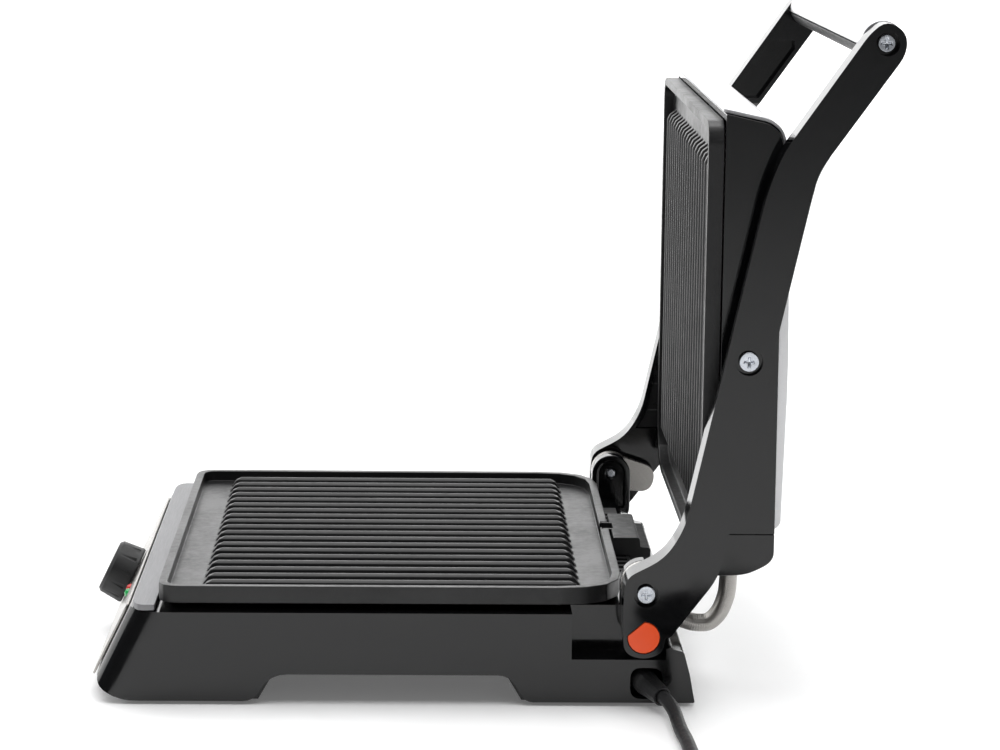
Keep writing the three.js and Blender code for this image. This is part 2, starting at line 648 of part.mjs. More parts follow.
function ringAround(r0, r1, height) {
  const profile = [[r0, 0], [r1, 0], [r1, height], [r0, height], [r0, 0]];
  return toSolid(new THREE.LatheGeometry(profile.map(([r, y]) => new THREE.Vector2(r, y)), 18));
}

const CORD = [
  [143, 127.3, 12.5], [150, 130.33, 11.33], [160, 134.67, 9.67], [170, 139, 8], [180, 141.6, 5.5],
  [192, 142.4, 3.9], [206, 142.9, 3.7], [222, 144, 3.7], [240, 144.7, 3.7], [262, 145.8, 3.7],
  [304.5, 147, 3.7],
];

const CORD_TAIL = [
  [381.5, 209, 3.7], [381.5, 222, 3.7], [381.5, 236, 3.8], [381.5, 250, 4.5], [381.5, 262, 5.9],
];
const PLUG_AIM = [0, 0.966, 0.259];  // it rests on its rim, with the cord's end low

// A round sleeve turned about Y from radius and length pairs, then aimed from one point at another.
function sleeve(profile, from, to) {
  const aim = new THREE.Vector3(...to).sub(new THREE.Vector3(...from)).normalize();
  const turn = new THREE.Quaternion().setFromUnitVectors(new THREE.Vector3(0, 1, 0), aim);
  const points = profile.map(([r, y]) => new THREE.Vector2(r, y));
  return toSolid(new THREE.LatheGeometry(points, 18).applyQuaternion(turn).translate(...from));
}

function cordGland() {
  const profile = [[3.9, 0], [6.4, 0], [6.4, 7], [6, 9], [4.9, 24], [3.9, 24], [3.9, 0]];
  return sleeve(profile, CORD[0], CORD[3]);
}

// The bundled rest of the cord: a ring as wide as two turns and as tall as two.
function cordCoil() {
  const profile = [[-7, 1.3], [7, 1.3], [7, 15.1], [-7, 15.1], [-7, 1.3]]
    .map(([r, z]) => new THREE.Vector2(COIL_R + r, z));
  return toSolid(new THREE.LatheGeometry(profile, 36).rotateX(Math.PI / 2).translate(COIL[0], COIL[1], 0));
}

function cordTie() {
  const band = alongX(rectangle(COIL_R - 8.8, 0.1, COIL_R + 8.6, 16.4, 2), -4, 4);
  const opening = alongX(rectangle(COIL_R - 7.7, 1, COIL_R + 7.5, 15.4, 1), -5, 5);
  return cut(band, opening).translate([COIL[0], COIL[1], 0]);
}

function alongPlug(dx, distance) {
  const [x, y, z] = CORD_TAIL[CORD_TAIL.length - 1];
  return [x + dx, y + PLUG_AIM[1] * distance, z + PLUG_AIM[2] * distance];
}

function plug() {
  const profile = [
    [0, 0.9], [4.4, 0.9], [6.6, 26], [12, 32], [17, 42], [18.5, 52], [18.5, 66], [16.5, 66.6], [0, 66.6],
  ];
  const body = sleeve(profile, alongPlug(0, 0), alongPlug(0, 10));
  const bore = [[0, 56], [2.7, 56], [2.7, 70], [0, 70]];
  return cut(body, ...[-PIN_X, PIN_X].map((dx) => sleeve(bore, alongPlug(dx, 0), alongPlug(dx, 10))));
}

function plugPin(dx) {
  const profile = [[0, 56.3], [2.4, 56.3], [2.4, 84.6], [1.4, 85.6], [0, 85.6]];
  return sleeve(profile, alongPlug(dx, 0), alongPlug(dx, 10));
}

// ---------- the press ----------

add('base_housing', baseHousing(), gloss);
add('base_bottom_cover', bottomCover(), matte);
add('front_panel', frontPanel(), steel);
add('front_trim', frontTrim(), grey);
add('rear_deck', rearDeck(), matte);
add('drain_spout', drainSpout(), matte);
FEET.forEach((at, i) => add(`foot_${i + 1}`, foot(at), rubber));
SCREWS.forEach((at, i) => add(`bottom_screw_${i + 1}`, bottomScrew(at), steel));
add('thermostat_body', thermostatBody(), ceramic);
add('thermostat_shaft', thermostatShaft(), steel);
add('control_knob', controlKnob(), matte);
add('lamp_red', lamp(LAMPS[0]), red);
add('lamp_green', lamp(LAMPS[1]), green);
add('lower_plate', lowerPlate(), coating);
add('lower_heating_element', heatingElement((x, v) => [x, v, 47.8]), aluminium);
add('lower_reflector', lowerReflector(), aluminium);

bothSides('hinge_ear', hingeEar(), gloss);
bothSides('hinge_link', hingeLink(), steel);
bothSides('hinge_screw', crossScrew(HINGE, 4.5, 162.7, 165.4, 2.6, 133), steel);
bothSides('pivot_bush', pivotBush(), brass);
bothSides('platen_pivot_screw', crossScrew(PIVOT, 5, 163.9, 166.4, 2.6, 139.5), steel);
bothSides('handle_screw', crossScrew(GRIP, 4.4, 160.9, 163.4, 2.6, 120), steel);
bothSides('arm_inner_cover', armInnerCover(), matte);
add('arm_right', armRight(), gloss);
add('arm_left', mirrored(armBlank()), gloss);
add('handle_core', handleCore(), matte);
add('handle_cover', handleCover(), silver);
add('release_button', releaseButton(), orange);
add('lock_pin', rodX(BUTTON, 2, PIN_IN, 157, 14), steel);
add('button_spring', buttonSpring(), steel);

add('platen_housing', platenHousing(), gloss);
add('platen_end_cap', platenEndCap(), gloss);
add('platen_cover', platenCover(), silver);
add('upper_plate', upperPlate(), coating);
add('upper_heating_element', heatingElement((x, v) => [x, 170, 180 - v]), aluminium);
add('upper_reflector', upperReflector(), aluminium);

add('conduit_lower', conduit(CONDUIT_LOWER), steel);
add('conduit_upper', conduit(CONDUIT_UPPER), steel);
add('conduit_gland_lower', ringAround(5.7, 7.2, 11.7).translate([CONDUIT_X, 131, CONDUIT_Z]), matte);
add('cord_gland', cordGland(), rubber);
add('cord', tube(CORD, CORD_R, 36, 8), rubber);
add('cord_coil', cordCoil(), rubber);
add('cord_tie', cordTie(), matte);
add('cord_tail', tube(CORD_TAIL, CORD_R, 16, 10), rubber);
add('plug', plug(), rubber);
add('plug_pin_1', plugPin(-PIN_X), steel);
add('plug_pin_2', plugPin(PIN_X), steel);

export default press;
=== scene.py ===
"""Panini press, open: rounded shells, ribbed plates, controls, conduit and cord over its CAD frame."""

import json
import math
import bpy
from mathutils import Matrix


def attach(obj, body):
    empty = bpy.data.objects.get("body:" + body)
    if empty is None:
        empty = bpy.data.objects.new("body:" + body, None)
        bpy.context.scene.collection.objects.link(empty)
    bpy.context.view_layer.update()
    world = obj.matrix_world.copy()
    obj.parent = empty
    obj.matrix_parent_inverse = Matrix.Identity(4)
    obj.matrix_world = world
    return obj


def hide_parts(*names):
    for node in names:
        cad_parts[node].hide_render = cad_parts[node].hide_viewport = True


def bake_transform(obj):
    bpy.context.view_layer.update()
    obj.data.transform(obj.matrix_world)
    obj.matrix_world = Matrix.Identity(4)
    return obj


bl_info = {
    "name": "Panini press",
    "version": (1, 0, 0),
    "blender": (4, 5, 0),
    "location": "View3D > Sidebar > Panini press",
    "description": "Finishes, fine pieces and a studio for a panini press",
    "category": "Object",
}

import bpy
from mathutils import Vector

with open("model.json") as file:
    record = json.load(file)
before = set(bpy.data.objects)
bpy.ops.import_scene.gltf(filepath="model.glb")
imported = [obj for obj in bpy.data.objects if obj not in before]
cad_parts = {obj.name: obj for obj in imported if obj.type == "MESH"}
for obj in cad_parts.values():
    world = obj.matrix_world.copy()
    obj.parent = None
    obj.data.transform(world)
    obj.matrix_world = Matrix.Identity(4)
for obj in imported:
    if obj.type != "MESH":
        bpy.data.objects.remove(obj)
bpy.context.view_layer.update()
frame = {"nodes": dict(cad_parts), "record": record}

MM = 0.001
REAR_SHIFT = -43.7 * MM          # from the drawing's datum to the frame's middle

# The studio.
WORLD_STRENGTH = 0.09
WORLD_COLOUR = (0.95, 0.97, 1.0, 1.0)
FLOOR_GLOW = 0.12                # light the floor gives off, so that it stays pale far from the press
FLOOR_SIZE = 14.0
FLOOR_DROP = 0.4 * MM            # keeps the floor just clear of the feet
BACKDROP_X = -2.6
SENSOR_WIDTH = 36.0
WHITE = (1.0, 1.0, 1.0, 1.0)

# How a CAD mesh becomes faces before its edges are rounded.
MERGE_GAP = 0.02 * MM
FLAT_DEGREES = 1.0
EDGE_DEGREES = 28.0
SMOOTH_DEGREES = 38.0

# The cord's route on the table, the same points as in the part's source, in metres.
CORD_START = (
    (0.1430, 0.1273, 0.0125), (0.1500, 0.13033, 0.01133), (0.1600, 0.13467, 0.00967),
    (0.1700, 0.1390, 0.0080), (0.1800, 0.1416, 0.0055), (0.1920, 0.1424, 0.0039),
    (0.2060, 0.1429, 0.0037), (0.2220, 0.1440, 0.0037),
    (0.2400, 0.1447, 0.0037), (0.2620, 0.1456, 0.0037), (0.2860, 0.1460, 0.0037), (0.3120, 0.1447, 0.0037),
)
CORD_END = (
    (0.3815, 0.2090, 0.0037), (0.3815, 0.2220, 0.0037), (0.3815, 0.2360, 0.0038), (0.3815, 0.2500, 0.0045),
    (0.3815, 0.2620, 0.0059),
)
CORD_STEP = 4 * MM
COIL_CENTRE = (0.334, 0.184)
COIL_TURNS = 4
COIL_STEPS = 36                  # points in each turn
COIL_INNER, COIL_OUTER, COIL_OUTSIDE = 33.5 * MM, 40.5 * MM, 47.5 * MM
COIL_LOW, COIL_HIGH = 3.7 * MM, 10.8 * MM

# The conduit's middle line from the base up into the platen, as distance back and height, in metres.
CONDUIT_X = 0.100
CONDUIT_STEP = 0.3 * MM
CONDUIT_RIDGE = 0.06 * MM        # half the height of a ridge, which repeats every fourth step
CONDUIT_SIDES = 20
CONDUIT_LINE = (
    (0.1290, 0.0345), (0.1400, 0.0345), (0.1476, 0.0339), (0.1530, 0.0323), (0.1570, 0.0311),
    (0.1615, 0.0308), (0.1650, 0.0313), (0.1685, 0.0340), (0.1717, 0.0388), (0.1743, 0.0470),
    (0.1750, 0.0570), (0.1750, 0.0640), (0.1750, 0.0760),
)


# ---------- settings ----------

class PressColours(bpy.types.PropertyGroup):
    gloss_black: bpy.props.FloatVectorProperty(
        name="Gloss black", description="Housing and arms", subtype="COLOR", size=4,
        default=(0.0022, 0.0023, 0.0027, 1.0))
    matte_black: bpy.props.FloatVectorProperty(
        name="Matte black", description="Knob, handle core and small mouldings", subtype="COLOR", size=4,
        default=(0.0055, 0.0056, 0.006, 1.0))
    coating: bpy.props.FloatVectorProperty(
        name="Non-stick coating", description="Both ribbed plates", subtype="COLOR", size=4,
        default=(0.004, 0.004, 0.0044, 1.0))
    silver: bpy.props.FloatVectorProperty(
        name="Silver", description="Platen cover and handle cover", subtype="COLOR", size=4,
        default=(0.80, 0.80, 0.81, 1.0))
    steel: bpy.props.FloatVectorProperty(
        name="Brushed steel", description="Front panel and conduit", subtype="COLOR", size=4,
        default=(0.42, 0.405, 0.385, 1.0))
    orange: bpy.props.FloatVectorProperty(
        name="Release orange", description="Release button", subtype="COLOR", size=4,
        default=(0.92, 0.085, 0.010, 1.0))


class PressSizes(bpy.types.PropertyGroup):
    shell_round: bpy.props.FloatProperty(
        name="Shell edge round", description="Radius on the edges of the black shells", unit="LENGTH",
        default=0.9 * MM)
    rib_round: bpy.props.FloatProperty(
        name="Rib edge round", description="Radius on the plates' ribs and rims", unit="LENGTH",
        default=0.55 * MM)
    cord_diameter: bpy.props.FloatProperty(
        name="Cord diameter", description="Mains cord, over its sheath", unit="LENGTH", default=7 * MM)
    conduit_radius: bpy.props.FloatProperty(
        name="Conduit radius", description="Steel conduit between base and platen", unit="LENGTH",
        default=4.7 * MM)


class StudioSettings(bpy.types.PropertyGroup):
    camera_place: bpy.props.FloatVectorProperty(
        name="Camera place", description="Where the camera stands", subtype="TRANSLATION",
        default=(1.65846, -0.02926, 0.43326))
    camera_turn: bpy.props.FloatVectorProperty(
        name="Camera turn", description="The camera's rotation", subtype="EULER",
        default=(math.radians(80.098), math.radians(-0.648), math.radians(88.625)))
    lens: bpy.props.FloatProperty(
        name="Lens", description="Focal length on a 36 mm sensor", default=110.88)
    floor_colour: bpy.props.FloatVectorProperty(
        name="Floor colour", description="Plain pale floor", subtype="COLOR", size=4,
        default=(0.92, 0.92, 0.92, 1.0))
    back_light: bpy.props.FloatProperty(
        name="Backdrop light", description="Brightness of the white backdrop", default=1.1)
    top_light: bpy.props.FloatProperty(
        name="Top light", description="Power of the large light overhead", unit="POWER", default=46.0)


# ---------- shared shader effects ----------

def new_group(name, inputs, outputs):
    tree = bpy.data.node_groups.new(name, "ShaderNodeTree")
    for label, kind, default in inputs:
        socket = tree.interface.new_socket(label, in_out="INPUT", socket_type=kind)
        if default is not None:
            socket.default_value = default
    for label, kind in outputs:
        tree.interface.new_socket(label, in_out="OUTPUT", socket_type=kind)
    return tree, tree.nodes.new("NodeGroupInput"), tree.nodes.new("NodeGroupOutput")


def math_node(tree, operation, a, b=None, clamp=False):
    node = tree.nodes.new("ShaderNodeMath")
    node.operation = operation
    node.use_clamp = clamp
    for i, value in enumerate((a, b)):
        if value is None:
            continue
        if hasattr(value, "links"):
            tree.links.new(value, node.inputs[i])
        else:
            node.inputs[i].default_value = value
    return node.outputs[0]


def noise(tree, vector, scale, detail=3.0, roughness=0.5):
    node = tree.nodes.new("ShaderNodeTexNoise")
    tree.links.new(vector, node.inputs["Vector"])
    node.inputs["Detail"].default_value = detail
    node.inputs["Roughness"].default_value = roughness
    if hasattr(scale, "links"):
        tree.links.new(scale, node.inputs["Scale"])
    else:
        node.inputs["Scale"].default_value = scale
    return node.outputs["Fac"]


def spread(tree, value, low, high, to_low, to_high):
    node = tree.nodes.new("ShaderNodeMapRange")
    tree.links.new(value, node.inputs["Value"])
    for label, end in (("From Min", low), ("From Max", high), ("To Min", to_low), ("To Max", to_high)):
        if hasattr(end, "links"):
            tree.links.new(end, node.inputs[label])
        else:
            node.inputs[label].default_value = end
    return node.outputs["Result"]


def make_handling_marks():
    """Faint wiped patches: roughness between two values, in soft clouds broken by finer streaks."""
    tree, given, result = new_group(
        "handling marks",
        (("Vector", "NodeSocketVector", None), ("Clean", "NodeSocketFloat", 0.1),
         ("Touched", "NodeSocketFloat", 0.2), ("Scale", "NodeSocketFloat", 12.0)),
        (("Roughness", "NodeSocketFloat"), ("Mask", "NodeSocketFloat")))
    clouds = noise(tree, given.outputs["Vector"], given.outputs["Scale"], 2.0)
    finer = math_node(tree, "MULTIPLY", given.outputs["Scale"], 9.0)
    streaks = noise(tree, given.outputs["Vector"], finer, 3.0, 0.6)
    both = math_node(tree, "MULTIPLY", clouds, streaks)
    mask = spread(tree, both, 0.16, 0.42, 0.0, 1.0)
    rough = spread(tree, mask, 0.0, 1.0, given.outputs["Clean"], given.outputs["Touched"])
    tree.links.new(rough, result.inputs["Roughness"])
    tree.links.new(mask, result.inputs["Mask"])
    return tree


def make_settled_dust():
    """Thin dust on what faces up, in patches."""
    tree, given, result = new_group(
        "settled dust",
        (("Vector", "NodeSocketVector", None), ("Amount", "NodeSocketFloat", 0.1)),
        (("Mask", "NodeSocketFloat"),))
    surface = tree.nodes.new("ShaderNodeNewGeometry")
    parts = tree.nodes.new("ShaderNodeSeparateXYZ")
    tree.links.new(surface.outputs["Normal"], parts.inputs["Vector"])
    up = spread(tree, parts.outputs["Z"], 0.5, 1.0, 0.0, 1.0)
    specks = spread(tree, noise(tree, given.outputs["Vector"], 900.0, 2.0), 0.62, 0.72, 0.0, 1.0)
    patches = spread(tree, noise(tree, given.outputs["Vector"], 30.0, 3.0), 0.4, 0.7, 0.3, 1.0)
    mask = math_node(tree, "MULTIPLY", math_node(tree, "MULTIPLY", specks, patches), up)
    tree.links.new(math_node(tree, "MULTIPLY", mask, given.outputs["Amount"], True), result.inputs["Mask"])
    return tree


def make_directional_grain():
    """Fine lines that run along one axis, as brushing leaves them."""
    tree, given, result = new_group(
        "directional grain",
        (("Vector", "NodeSocketVector", None), ("Lines", "NodeSocketVector", (20.0, 2500.0, 2500.0))),
        (("Height", "NodeSocketFloat"), ("Shade", "NodeSocketFloat")))
    stretch = tree.nodes.new("ShaderNodeVectorMath")
    stretch.operation = "MULTIPLY"
    tree.links.new(given.outputs["Vector"], stretch.inputs[0])
    tree.links.new(given.outputs["Lines"], stretch.inputs[1])
    fine = noise(tree, stretch.outputs[0], 1.0, 4.0, 0.7)
    broad = noise(tree, given.outputs["Vector"], 8.0, 2.0)
    tree.links.new(fine, result.inputs["Height"])
    tree.links.new(math_node(tree, "ADD", math_node(tree, "MULTIPLY", fine, 0.7),
                             math_node(tree, "MULTIPLY", broad, 0.3)), result.inputs["Shade"])
    return tree


def make_moulded_grain():
    """The fine pitted texture of a mould or a sprayed coating."""
    tree, given, result = new_group(
        "moulded grain",
        (("Vector", "NodeSocketVector", None), ("Scale", "NodeSocketFloat", 1400.0)),
        (("Height", "NodeSocketFloat"), ("Speckle", "NodeSocketFloat")))
    cells = tree.nodes.new("ShaderNodeTexVoronoi")
    cells.feature = "SMOOTH_F1"
    tree.links.new(given.outputs["Vector"], cells.inputs["Vector"])
    tree.links.new(given.outputs["Scale"], cells.inputs["Scale"])
    soft = noise(tree, given.outputs["Vector"], given.outputs["Scale"], 2.0)
    height = math_node(tree, "ADD", math_node(tree, "MULTIPLY", cells.outputs["Distance"], 0.6),
                       math_node(tree, "MULTIPLY", soft, 0.4))
    tree.links.new(height, result.inputs["Height"])
    finer = math_node(tree, "MULTIPLY", given.outputs["Scale"], 1.7)
    fleck = noise(tree, given.outputs["Vector"], finer, 1.0)
    tree.links.new(spread(tree, fleck, 0.60, 0.70, 0.0, 1.0), result.inputs["Speckle"])
    return tree


class Finish:
    """A material under construction: its tree, its shader and the object's own coordinates."""

    def __init__(self, name, colour, roughness, metallic=0.0):
        self.material = bpy.data.materials.new(name)
        self.material.use_nodes = True
        self.tree = self.material.node_tree
        self.shader = self.tree.nodes["Principled BSDF"]
        self.shader.inputs["Base Color"].default_value = colour
        self.shader.inputs["Roughness"].default_value = roughness
        self.shader.inputs["Metallic"].default_value = metallic
        self.place = self.tree.nodes.new("ShaderNodeTexCoord").outputs["Object"]
        self.colour = colour

    def effect(self, name, **values):
        node = self.tree.nodes.new("ShaderNodeGroup")
        node.node_tree = bpy.data.node_groups[name]
        self.tree.links.new(self.place, node.inputs["Vector"])
        for label, value in values.items():
            node.inputs[label].default_value = value
        return node

    def marks(self, clean, touched, scale=12.0):
        node = self.effect("handling marks", Clean=clean, Touched=touched, Scale=scale)
        self.tree.links.new(node.outputs["Roughness"], self.shader.inputs["Roughness"])

    def bump(self, height, depth, strength=1.0):
        node = self.tree.nodes.new("ShaderNodeBump")
        node.inputs["Strength"].default_value = strength
        node.inputs["Distance"].default_value = depth
        self.tree.links.new(height, node.inputs["Height"])
        self.tree.links.new(node.outputs["Normal"], self.shader.inputs["Normal"])

    def tint(self, mask, other, base=None):
        """The base colour turns to another where the mask is 1."""
        node = self.tree.nodes.new("ShaderNodeMix")
        node.data_type = "RGBA"
        self.tree.links.new(mask, node.inputs["Factor"])
        node.inputs["A"].default_value = self.colour
        if base is not None:
            self.tree.links.new(base, node.inputs["A"])
        node.inputs["B"].default_value = other
        self.tree.links.new(node.outputs["Result"], self.shader.inputs["Base Color"])
        return node.outputs["Result"]


def shade(colour, factor):
    return tuple(min(c * factor, 1.0) for c in colour[:3]) + (1.0,)


def gloss_plastic(name, colour, clean=0.07, touched=0.16, dust=0.25):
    finish = Finish(name, colour, clean)
    finish.marks(clean, touched, 9.0)
    settled = finish.effect("settled dust", Amount=dust)
    finish.tint(settled.outputs["Mask"], (0.22, 0.21, 0.20, 1.0))
    ripple = noise(finish.tree, finish.place, 45.0, 1.0)
    finish.bump(ripple, 0.00012, 0.25)
    return finish.material


def matte_plastic(name, colour, roughness=0.5):
    finish = Finish(name, colour, roughness)
    finish.marks(roughness - 0.08, roughness + 0.08, 20.0)
    grain = finish.effect("moulded grain", Scale=1500.0)
    finish.bump(grain.outputs["Height"], 0.00005, 0.5)
    tone = noise(finish.tree, finish.place, 60.0, 2.0)
    finish.tint(spread(finish.tree, tone, 0.4, 0.8, 0.0, 0.6), shade(colour, 1.8))
    return finish.material


def nonstick_coating(name, colour):
    finish = Finish(name, colour, 0.38)
    finish.marks(0.33, 0.45, 26.0)
    grain = finish.effect("moulded grain", Scale=2100.0)
    flecked = finish.tint(grain.outputs["Speckle"], shade(colour, 3.0))
    settled = finish.effect("settled dust", Amount=0.12)
    finish.tint(settled.outputs["Mask"], (0.3, 0.3, 0.3, 1.0), flecked)
    finish.bump(grain.outputs["Height"], 0.00004, 0.6)
    return finish.material


def brushed_metal(name, colour, lines, low=0.22, high=0.38, depth=0.000012):
    finish = Finish(name, colour, (low + high) / 2, 1.0)
    grain = finish.effect("directional grain", Lines=lines)
    rough = spread(finish.tree, grain.outputs["Shade"], 0.3, 0.7, low, high)
    finish.tree.links.new(rough, finish.shader.inputs["Roughness"])
    finish.tint(spread(finish.tree, grain.outputs["Shade"], 0.35, 0.75, 0.0, 0.5), shade(colour, 0.8))
    finish.bump(grain.outputs["Height"], depth, 0.6)
    return finish.material


def plated_metal(name, colour, roughness=0.2):
    finish = Finish(name, colour, roughness, 1.0)
    finish.marks(roughness - 0.06, roughness + 0.12, 120.0)
    tone = noise(finish.tree, finish.place, 400.0, 3.0)
    finish.tint(spread(finish.tree, tone, 0.45, 0.75, 0.0, 0.5), shade(colour, 0.6))
    finish.bump(tone, 0.00002, 0.4)
    return finish.material


def cord_rubber(name, colour, roughness=0.55):
    finish = Finish(name, colour, roughness)
    finish.marks(roughness - 0.1, roughness + 0.1, 40.0)
    grain = finish.effect("moulded grain", Scale=2600.0)
    finish.bump(grain.outputs["Height"], 0.00004, 0.5)
    settled = finish.effect("settled dust", Amount=0.3)
    finish.tint(settled.outputs["Mask"], (0.16, 0.15, 0.14, 1.0))
    return finish.material


def lamp_lens(name, colour):
    finish = Finish(name, colour, 0.12)
    finish.shader.inputs["Coat Weight"].default_value = 0.6
    finish.marks(0.08, 0.18, 300.0)
    rings = noise(finish.tree, finish.place, 1500.0, 1.0)
    finish.tint(spread(finish.tree, rings, 0.4, 0.7, 0.0, 0.7), shade(colour, 2.2))
    finish.bump(rings, 0.00005, 0.4)
    return finish.material


def fired_ceramic(name, colour):
    finish = Finish(name, colour, 0.65)
    finish.marks(0.55, 0.75, 60.0)
    grain = finish.effect("moulded grain", Scale=1800.0)
    finish.tint(grain.outputs["Speckle"], shade(colour, 0.55))
    finish.bump(grain.outputs["Height"], 0.00008, 0.6)
    return finish.material


MATERIALS = {}


def make_materials(colours):
    for build in (make_handling_marks, make_settled_dust, make_directional_grain, make_moulded_grain):
        build()
    steel = tuple(colours.steel)
    silver = tuple(colours.silver)
    MATERIALS.update(
        gloss_black=gloss_plastic("gloss black plastic", tuple(colours.gloss_black)),
        matte_black=matte_plastic("matte black plastic", tuple(colours.matte_black)),
        nonstick=nonstick_coating("non-stick coating", tuple(colours.coating)),
        steel=brushed_metal("brushed steel", steel, (25.0, 3000.0, 3000.0)),
        screw_steel=plated_metal("bright zinc", (0.66, 0.69, 0.74, 1.0)),
        silver_cover=brushed_metal("satin silver", silver, (30.0, 2200.0, 2200.0), 0.34, 0.46, 0.000006),
        grey_trim=brushed_metal("satin grey paint", (0.24, 0.24, 0.247, 1.0),
                                (60.0, 1800.0, 1800.0), 0.42, 0.52),
        aluminium=plated_metal("mill aluminium", (0.72, 0.73, 0.74, 1.0), 0.35),
        orange=gloss_plastic("release orange", tuple(colours.orange), 0.2, 0.3, 0.1),
        rubber=cord_rubber("cord sheath", (0.010, 0.010, 0.011, 1.0)),
        ceramic=fired_ceramic("fired ceramic", (0.66, 0.61, 0.52, 1.0)),
        lens_red=lamp_lens("red lens", (0.45, 0.012, 0.008, 1.0)),
        lens_green=lamp_lens("green lens", (0.012, 0.30, 0.07, 1.0)),
    )


def slot_of(node):
    return next(s["material_slot"] for s in frame["record"]["subparts"] if s["node"] == node)


def dress(obj, material):
    obj.data.materials.clear()
    obj.data.materials.append(material)


# ---------- working on meshes ----------

def only(obj):
    bpy.ops.object.select_all(action="DESELECT")
    obj.select_set(True)
    bpy.context.view_layer.objects.active = obj


def apply(obj, kind, **values):
    only(obj)
    modifier = obj.modifiers.new(kind.lower(), kind)
    for label, value in values.items():
        setattr(modifier, label, value)
    bpy.ops.object.modifier_apply(modifier=modifier.name)


def smooth(obj, degrees=40.0):
    only(obj)
    bpy.ops.object.shade_smooth_by_angle(angle=math.radians(degrees))


def body_with(node):
    return next(body for body, nodes in frame["record"]["behaviour"]["bodies"].items() if node in nodes)


def settle(obj, body, slot_name, *nodes):
    """Rides on a body, takes a finish and stands for CAD nodes."""
    dress(obj, MATERIALS[slot_name])
    if nodes:
        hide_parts(*nodes)
    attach(obj, body)
    return obj


def rounded(node, width, segments=2, angle=EDGE_DEGREES):
    """A copy of a CAD piece with its triangles merged into faces and its edges rounded."""
    source = bpy.data.objects[node]
    mesh = source.data.copy()
    copy = bpy.data.objects.new(f"{node}_finished", mesh)
    bpy.context.scene.collection.objects.link(copy)
    only(copy)
    bpy.ops.object.mode_set(mode="EDIT")
    bpy.ops.mesh.select_all(action="SELECT")
    bpy.ops.mesh.remove_doubles(threshold=MERGE_GAP)
    bpy.ops.mesh.dissolve_limited(angle_limit=math.radians(FLAT_DEGREES))
    bpy.ops.object.mode_set(mode="OBJECT")
    apply(copy, "BEVEL", width=width, segments=segments, limit_method="ANGLE",
          angle_limit=math.radians(angle), use_clamp_overlap=True, loop_slide=False)
    smooth(copy, SMOOTH_DEGREES)
    apply(copy, "WEIGHTED_NORMAL", keep_sharp=True, weight=50)
    return settle(copy, body_with(node), slot_of(node), node)


def round_all(rounds, segments=2):
    for node, width in rounds:
        rounded(node, width, segments)


# ---------- the stage ----------

class PRESS_OT_stage(bpy.types.Operator):
    """Set the camera, the pale floor, the backdrop and the studio lights"""
    bl_idname = "press.stage"
    bl_label = "Stage"

    def execute(self, context):
        studio = context.scene.press_studio
        data = bpy.data.cameras.new("camera")
        data.sensor_width = SENSOR_WIDTH
        data.lens = studio.lens
        camera = bpy.data.objects.new("camera", data)
        camera.location = studio.camera_place
        camera.rotation_euler = studio.camera_turn
        context.scene.collection.objects.link(camera)
        context.scene.camera = camera
        self.floor(tuple(studio.floor_colour), studio.back_light)
        self.lights(studio)
        world = bpy.data.worlds.new("studio")
        world.use_nodes = True
        world.node_tree.nodes["Background"].inputs["Color"].default_value = WORLD_COLOUR
        world.node_tree.nodes["Background"].inputs["Strength"].default_value = WORLD_STRENGTH
        context.scene.world = world
        context.scene.view_settings.view_transform = "Standard"
        return {"FINISHED"}

    def floor(self, colour, glow):
        sheets = (
            ("floor", (0.0, 0.0, -FLOOR_DROP), 0.0, FLOOR_GLOW),
            ("backdrop", (BACKDROP_X, 0.0, 0.0), 90.0, glow),
        )
        for name, place, lean, shine in sheets:
            turn = (0.0, math.radians(lean), 0.0)
            bpy.ops.object.select_all(action="DESELECT")
            bpy.ops.mesh.primitive_plane_add(size=FLOOR_SIZE, location=place, rotation=turn)
            sheet = bpy.context.object
            sheet.name = name
            finish = Finish(f"pale {name}", colour, 0.6)
            finish.marks(0.5, 0.7, 3.0)
            finish.shader.inputs["Emission Color"].default_value = WHITE
            finish.shader.inputs["Emission Strength"].default_value = shine
            dress(sheet, finish.material)

    def lights(self, studio):
        lamps = (
            ("top light", (0.1, 0.0, 1.9), (0.0, 0.0, 0.0), 2.4, 2.4, studio.top_light),
            ("front light", (0.1, -2.2, 1.3), (0.0, 0.0, 0.1), 1.2, 0.8, 9.0),
            ("rear light", (-0.2, 2.2, 1.2), (0.0, 0.1, 0.15), 0.8, 1.2, 7.0),
            ("side strip", (1.9, 0.6, 1.2), (0.1, 0.1, 0.2), 0.25, 0.9, 1.5),
        )
        for name, place, target, width, height, power in lamps:
            data = bpy.data.lights.new(name, "AREA")
            data.shape = "RECTANGLE"
            data.size = width
            data.size_y = height
            data.energy = power
            lamp = bpy.data.objects.new(name, data)
            lamp.location = place
            lamp.rotation_euler = (Vector(target) - Vector(place)).to_track_quat("-Z", "Y").to_euler()
            bpy.context.scene.collection.objects.link(lamp)


# ---------- cord ----------

def smooth_line(points, step):
    """Points a step apart on a Catmull-Rom line through the given points."""
    points = [Vector(p) for p in points]
    ends = [2 * points[0] - points[1], *points, 2 * points[-1] - points[-2]]
    line = []
    for a, b, c, d in zip(ends, ends[1:], ends[2:], ends[3:]):
        count = max(2, round((c - b).length / step))
        for i in range(count):
            t = i / count
            line.append(0.5 * ((2 * b) + (c - a) * t + (2 * a - 5 * b + 4 * c - d) * t ** 2
                               + (3 * b - a - 3 * c + d) * t ** 3))
    return line + [points[-1]]


def smooth_share(share):
    share = max(0.0, min(1.0, share))
    return share * share * (3 - 2 * share)


